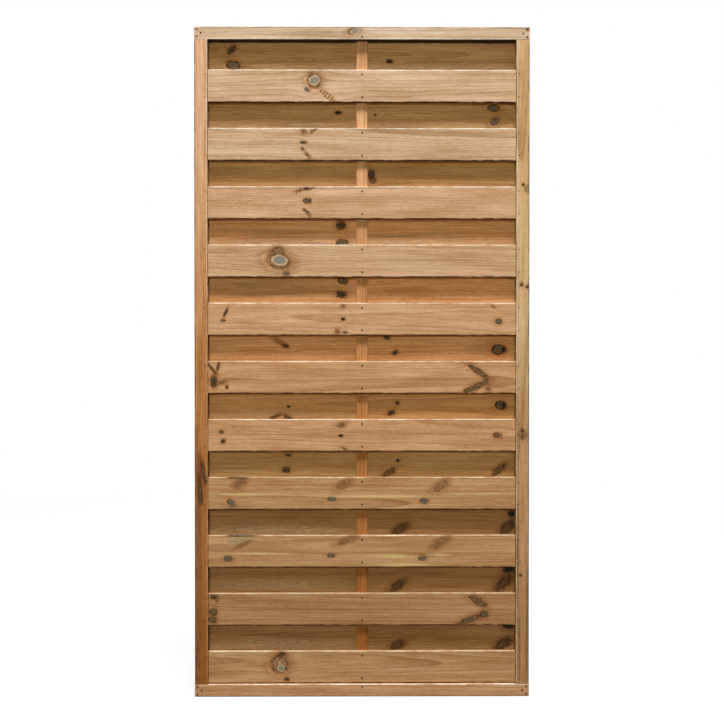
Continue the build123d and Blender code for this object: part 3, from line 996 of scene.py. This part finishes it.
def make_board_material(
    node, tone, knots, seed, upright=False, lower=(), pith=None, drift=None, planer=0.04, inward=None,
):
    """Pine for one board: its own axes in millimetres, the knots' pushes, the rings, the knots' colours
    and wear. An upright may go over to lower tones, each between two heights from -1 at its foot to 1 at
    its head. Undersides get painted shade, and so does the side that looks inward, painted shade in the
    corner against the slats. A longer inward vector takes it further round the arris."""
    rng = np.random.default_rng(seed)
    depth = rng.choice([-1, 1]) * rng.uniform(*PITH_DEPTHS)
    pith = pith or (0.0, depth, rng.uniform(-PITH_SPREAD, PITH_SPREAD))
    drift = drift or (0.0, *rng.uniform(-DRIFT_SPREAD, DRIFT_SPREAD, 2))
    year = rng.uniform(*YEAR_WIDTHS)
    early, late = TONES[tone]
    material, tree = new_material(f"pine_{node}")
    shader = tree.nodes["Principled BSDF"]
    coordinates = put(tree, "TexCoord").outputs
    centre, half = box_mm(node)
    turn = (0.0, QUARTER_TURN if upright else 0.0, 0.0)
    shift = (-centre[2], -centre[1], centre[0]) if upright else tuple(-centre)
    point = put(tree, "Mapping", coordinates["Object"], shift, turn, TO_MM).outputs[0]
    push, locals_found = 0.0, []
    for kind, along, across, half_length, half_width, *degrees in knots:
        outputs = use_group(
            tree, push_group, Point=point, Push=push, Centre=(along, 0.0, across),
            Radii=(half_length, THROUGH, half_width), Turn=np.radians(degrees[0] if degrees else 0.0),
        )
        push = outputs["Push"]
        locals_found.append((outputs["Local"], KNOT_KINDS[kind]))
    for lower_tone, start, stop in lower:
        share = slope(tree, put(tree, "SeparateXYZ", point).outputs[0], start * half[2], stop * half[2])
        lower_early, lower_late = TONES[lower_tone]
        early = blend(tree, share, early, lower_early)
        late = blend(tree, share, late, lower_late)
    own_place = tuple(rng.uniform(-SEED_SPREAD, SEED_SPREAD, 3))
    wood = use_group(
        tree, pine_group, Point=point, Seed=own_place, Push=push, Pith=pith, Drift=drift, Year=year,
        Early=early, Late=late, Planer=planer,
    )
    colour = wood["Colour"]
    for local, kind in locals_found:
        looks = kind._asdict()
        laid = use_group(tree, knot_colour_group, Colour=colour, Point=point, Local=local, **looks)
        colour = laid["Colour"]
    axis = (0.0, 0.0, 1.0) if upright else (1.0, 0.0, 0.0)
    end = calc(tree, "ABSOLUTE", vector_calc(tree, "DOT_PRODUCT", coordinates["Normal"], axis))
    # Painted shade: undersides, and for a stile the side that looks inward at the slats, count as facing
    # down, and the wear group darkens them.
    up = put(tree, "SeparateXYZ", coordinates["Normal"]).outputs[2]
    if inward:
        outward = tuple(-part for part in inward)
        up = calc(tree, "MINIMUM", up, vector_calc(tree, "DOT_PRODUCT", coordinates["Normal"], outward))
    worn = use_group(
        tree, wear_group, Colour=colour, Point=point, Arris=surface_value(tree, "arris"),
        Stain=surface_value(tree, "stain"), End=end, Up=up,
    )
    fill(tree, shader.inputs["Base Color"], worn["Colour"])
    fill(tree, shader.inputs["Roughness"], wood["Roughness"])
    fill(tree, shader.inputs["Specular IOR Level"], worn["Gloss"])
    bump = put(tree, "Bump", BUMP_STRENGTH, BUMP_DEPTH)
    fill(tree, bump.inputs["Height"], wood["Height"])
    fill(tree, shader.inputs["Normal"], bump.outputs[0])
    made[node].data.materials.append(material)


for number in range(1, SLAT_COUNT + 1):
    front, back = f"front_slat_{number:02d}", f"back_slat_{number:02d}"
    make_board_material(front, FRONT_TONES[number - 1], FRONT_KNOTS[number - 1], number)
    figure = {"pith": ARCHED_PITH, "drift": ARCHED_DRIFT} if number in ARCHED_BACK_SLATS else {}
    make_board_material(back, BACK_TONES[number - 1], BACK_KNOTS[number - 1], BACK_SEED + number, **figure)
make_board_material("top_rail", "bleached", TOP_RAIL_KNOTS, FRAME_SEED + 1)
make_board_material("bottom_rail", "amber", [], FRAME_SEED + 2)
left_lower = [("sienna", 1.0, -0.2), ("tobacco", 0.1, -1.0)]
right_lower = [("nut", 0.6, -1.1)]
muntin_lower = [("sienna", 0.9, -0.3), ("tobacco", 0.2, -0.9)]
make_board_material(
    "left_stile", "orange", LEFT_STILE_KNOTS, FRAME_SEED + 3, upright=True, lower=left_lower,
    planer=0.15, inward=(CORNER_SHADE_REACH, 0.0, 0.0),
)
make_board_material(
    "right_stile", "sand", RIGHT_STILE_KNOTS, FRAME_SEED + 4, upright=True, lower=right_lower,
    planer=0.25, inward=(-CORNER_SHADE_REACH, 0.0, 0.0),
)
make_board_material("muntin", "copper", [], FRAME_SEED + 5, upright=True, lower=muntin_lower)
print("board materials:", len(made))

# %% [markdown]
# ## Brads
# The brads are bare wire, dulled by weather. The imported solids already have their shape, so they only
# need a finish: dark steel with patches of rust.

# %% Brad steel
STEEL, RUST = (0.04, 0.037, 0.034), (0.035, 0.016, 0.008)
RUST_PATCH = 1.5


def make_brad_steel():
    """Dark steel, with brown patches by noise a millimetre or two across, rougher where it is rusty."""
    material, tree = new_material("brad_steel")
    shader = tree.nodes["Principled BSDF"]
    coordinates = put(tree, "TexCoord").outputs
    point = put(tree, "Mapping", coordinates["Object"], None, None, TO_MM).outputs[0]
    rust = slope(tree, streaks(tree, point, RUST_PATCH, RUST_PATCH), 0.4, 0.65)
    fill(tree, shader.inputs["Base Color"], blend(tree, rust, STEEL, RUST))
    fill(tree, shader.inputs["Roughness"], slope(tree, rust, 0.0, 1.0, 0.45, 0.85))
    fill(tree, shader.inputs["Metallic"], slope(tree, rust, 0.0, 1.0, 0.9, 0.1))
    return material


brad_steel = make_brad_steel()
brad_nodes = [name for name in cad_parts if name.endswith("_brads")]
for name in brad_nodes:
    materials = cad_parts[name].data.materials
    materials.clear()
    materials.append(brad_steel)
print("brad nodes:", len(brad_nodes))

# %% [markdown]
# ## Floor, light and background
# The photograph has a white ground and light that falls steeply from above and in front, so the slats
# shade the layer behind them. A large lamp high up gives that soft shade, a weak broad one in front opens
# it, and an even sky fills the rest. The white ground is only for the camera's rays: the floor still
# takes the panel's shadow.

# %% Floor and lights
FLOOR_SIDE = 60.0
FLOOR_SEEN, FLOOR_LIT = 0.85, 0.04
FLOOR_GLOW = 0.75
GLOW_NEAR, GLOW_FAR = 1.2, 5.0
SKY_LIGHT = 0.08
COOL, WARM, PLAIN = (1.0, 1.02, 1.16), (1.0, 0.95, 0.78), (1.0, 1.0, 1.0)
LAMP_AIM = (0.0, 0.0, 0.9)


def seen_ray(tree):
    """One for a ray that the camera sees directly, in a gloss or through glass, and zero for light that
    falls."""
    path = put(tree, "LightPath").outputs
    seen = calc(tree, "MAXIMUM", path["Is Camera Ray"], path["Is Glossy Ray"])
    return calc(tree, "MAXIMUM", seen, path["Is Transmission Ray"])


def make_floor():
    """A wide flat square under the panel. Seen rays find it pale, lifted towards white, and quite white
    far off. Falling light finds it dull, so that it throws little back up under the slats."""
    corner = np.array([[-1, -1, 0], [1, -1, 0], [1, 1, 0], [-1, 1, 0]]) * FLOOR_SIDE / 2
    mesh = bpy.data.meshes.new("floor")
    mesh.from_pydata(corner, [], [(0, 1, 2, 3)])
    floor = bpy.data.objects.new("floor", mesh)
    scene.collection.objects.link(floor)
    material, tree = new_material("pale_floor")
    tree.nodes.remove(tree.nodes["Principled BSDF"])
    seen = seen_ray(tree)
    pale = put(tree, "BsdfDiffuse", slope(tree, seen, 0.0, 1.0, FLOOR_LIT, FLOOR_SEEN)).outputs[0]
    white = put(tree, "Emission", PLAIN, 1.0).outputs[0]
    distance = vector_calc(tree, "LENGTH", put(tree, "TexCoord").outputs["Object"])
    share = times(tree, seen, slope(tree, distance, GLOW_NEAR, GLOW_FAR, FLOOR_GLOW, 1.0))
    mixed = put(tree, "MixShader", share, pale, white).outputs[0]
    fill(tree, tree.nodes["Material Output"].inputs["Surface"], mixed)
    mesh.materials.append(material)


def add_lamp(name, place, size, power, colour):
    """A rectangular lamp that looks at the middle of the panel."""
    lamp = bpy.data.lights.new(name, "AREA")
    lamp.shape = "RECTANGLE"
    lamp.size, lamp.size_y = size
    lamp.energy = power
    lamp.color = colour
    holder = bpy.data.objects.new(name, lamp)
    holder.location = place
    holder.rotation_euler = (Vector(LAMP_AIM) - Vector(place)).to_track_quat("-Z", "Y").to_euler()
    scene.collection.objects.link(holder)


def make_sky():
    """An even sky that is white where it is seen."""
    world = scene.world or bpy.data.worlds.new("sky")
    scene.world = world
    world.use_nodes = True
    tree = world.node_tree
    strength = slope(tree, seen_ray(tree), 0.0, 1.0, SKY_LIGHT, 1.0)
    background = tree.nodes["Background"]
    fill(tree, background.inputs["Color"], PLAIN)
    fill(tree, background.inputs["Strength"], strength)


make_floor()
make_sky()
add_lamp("key", (0.25, -2.2, 7.6), (2.0, 1.2), 786.0, COOL)
add_lamp("fill", (-0.6, -8.0, 2.7), (1.6, 1.6), 225.0, WARM)
add_lamp("back", (0.8, 4.0, 3.0), (2.5, 2.5), 130.0, PLAIN)
scene.view_settings.view_transform = "Standard"
print("lamps:", [light.name for light in bpy.data.lights])
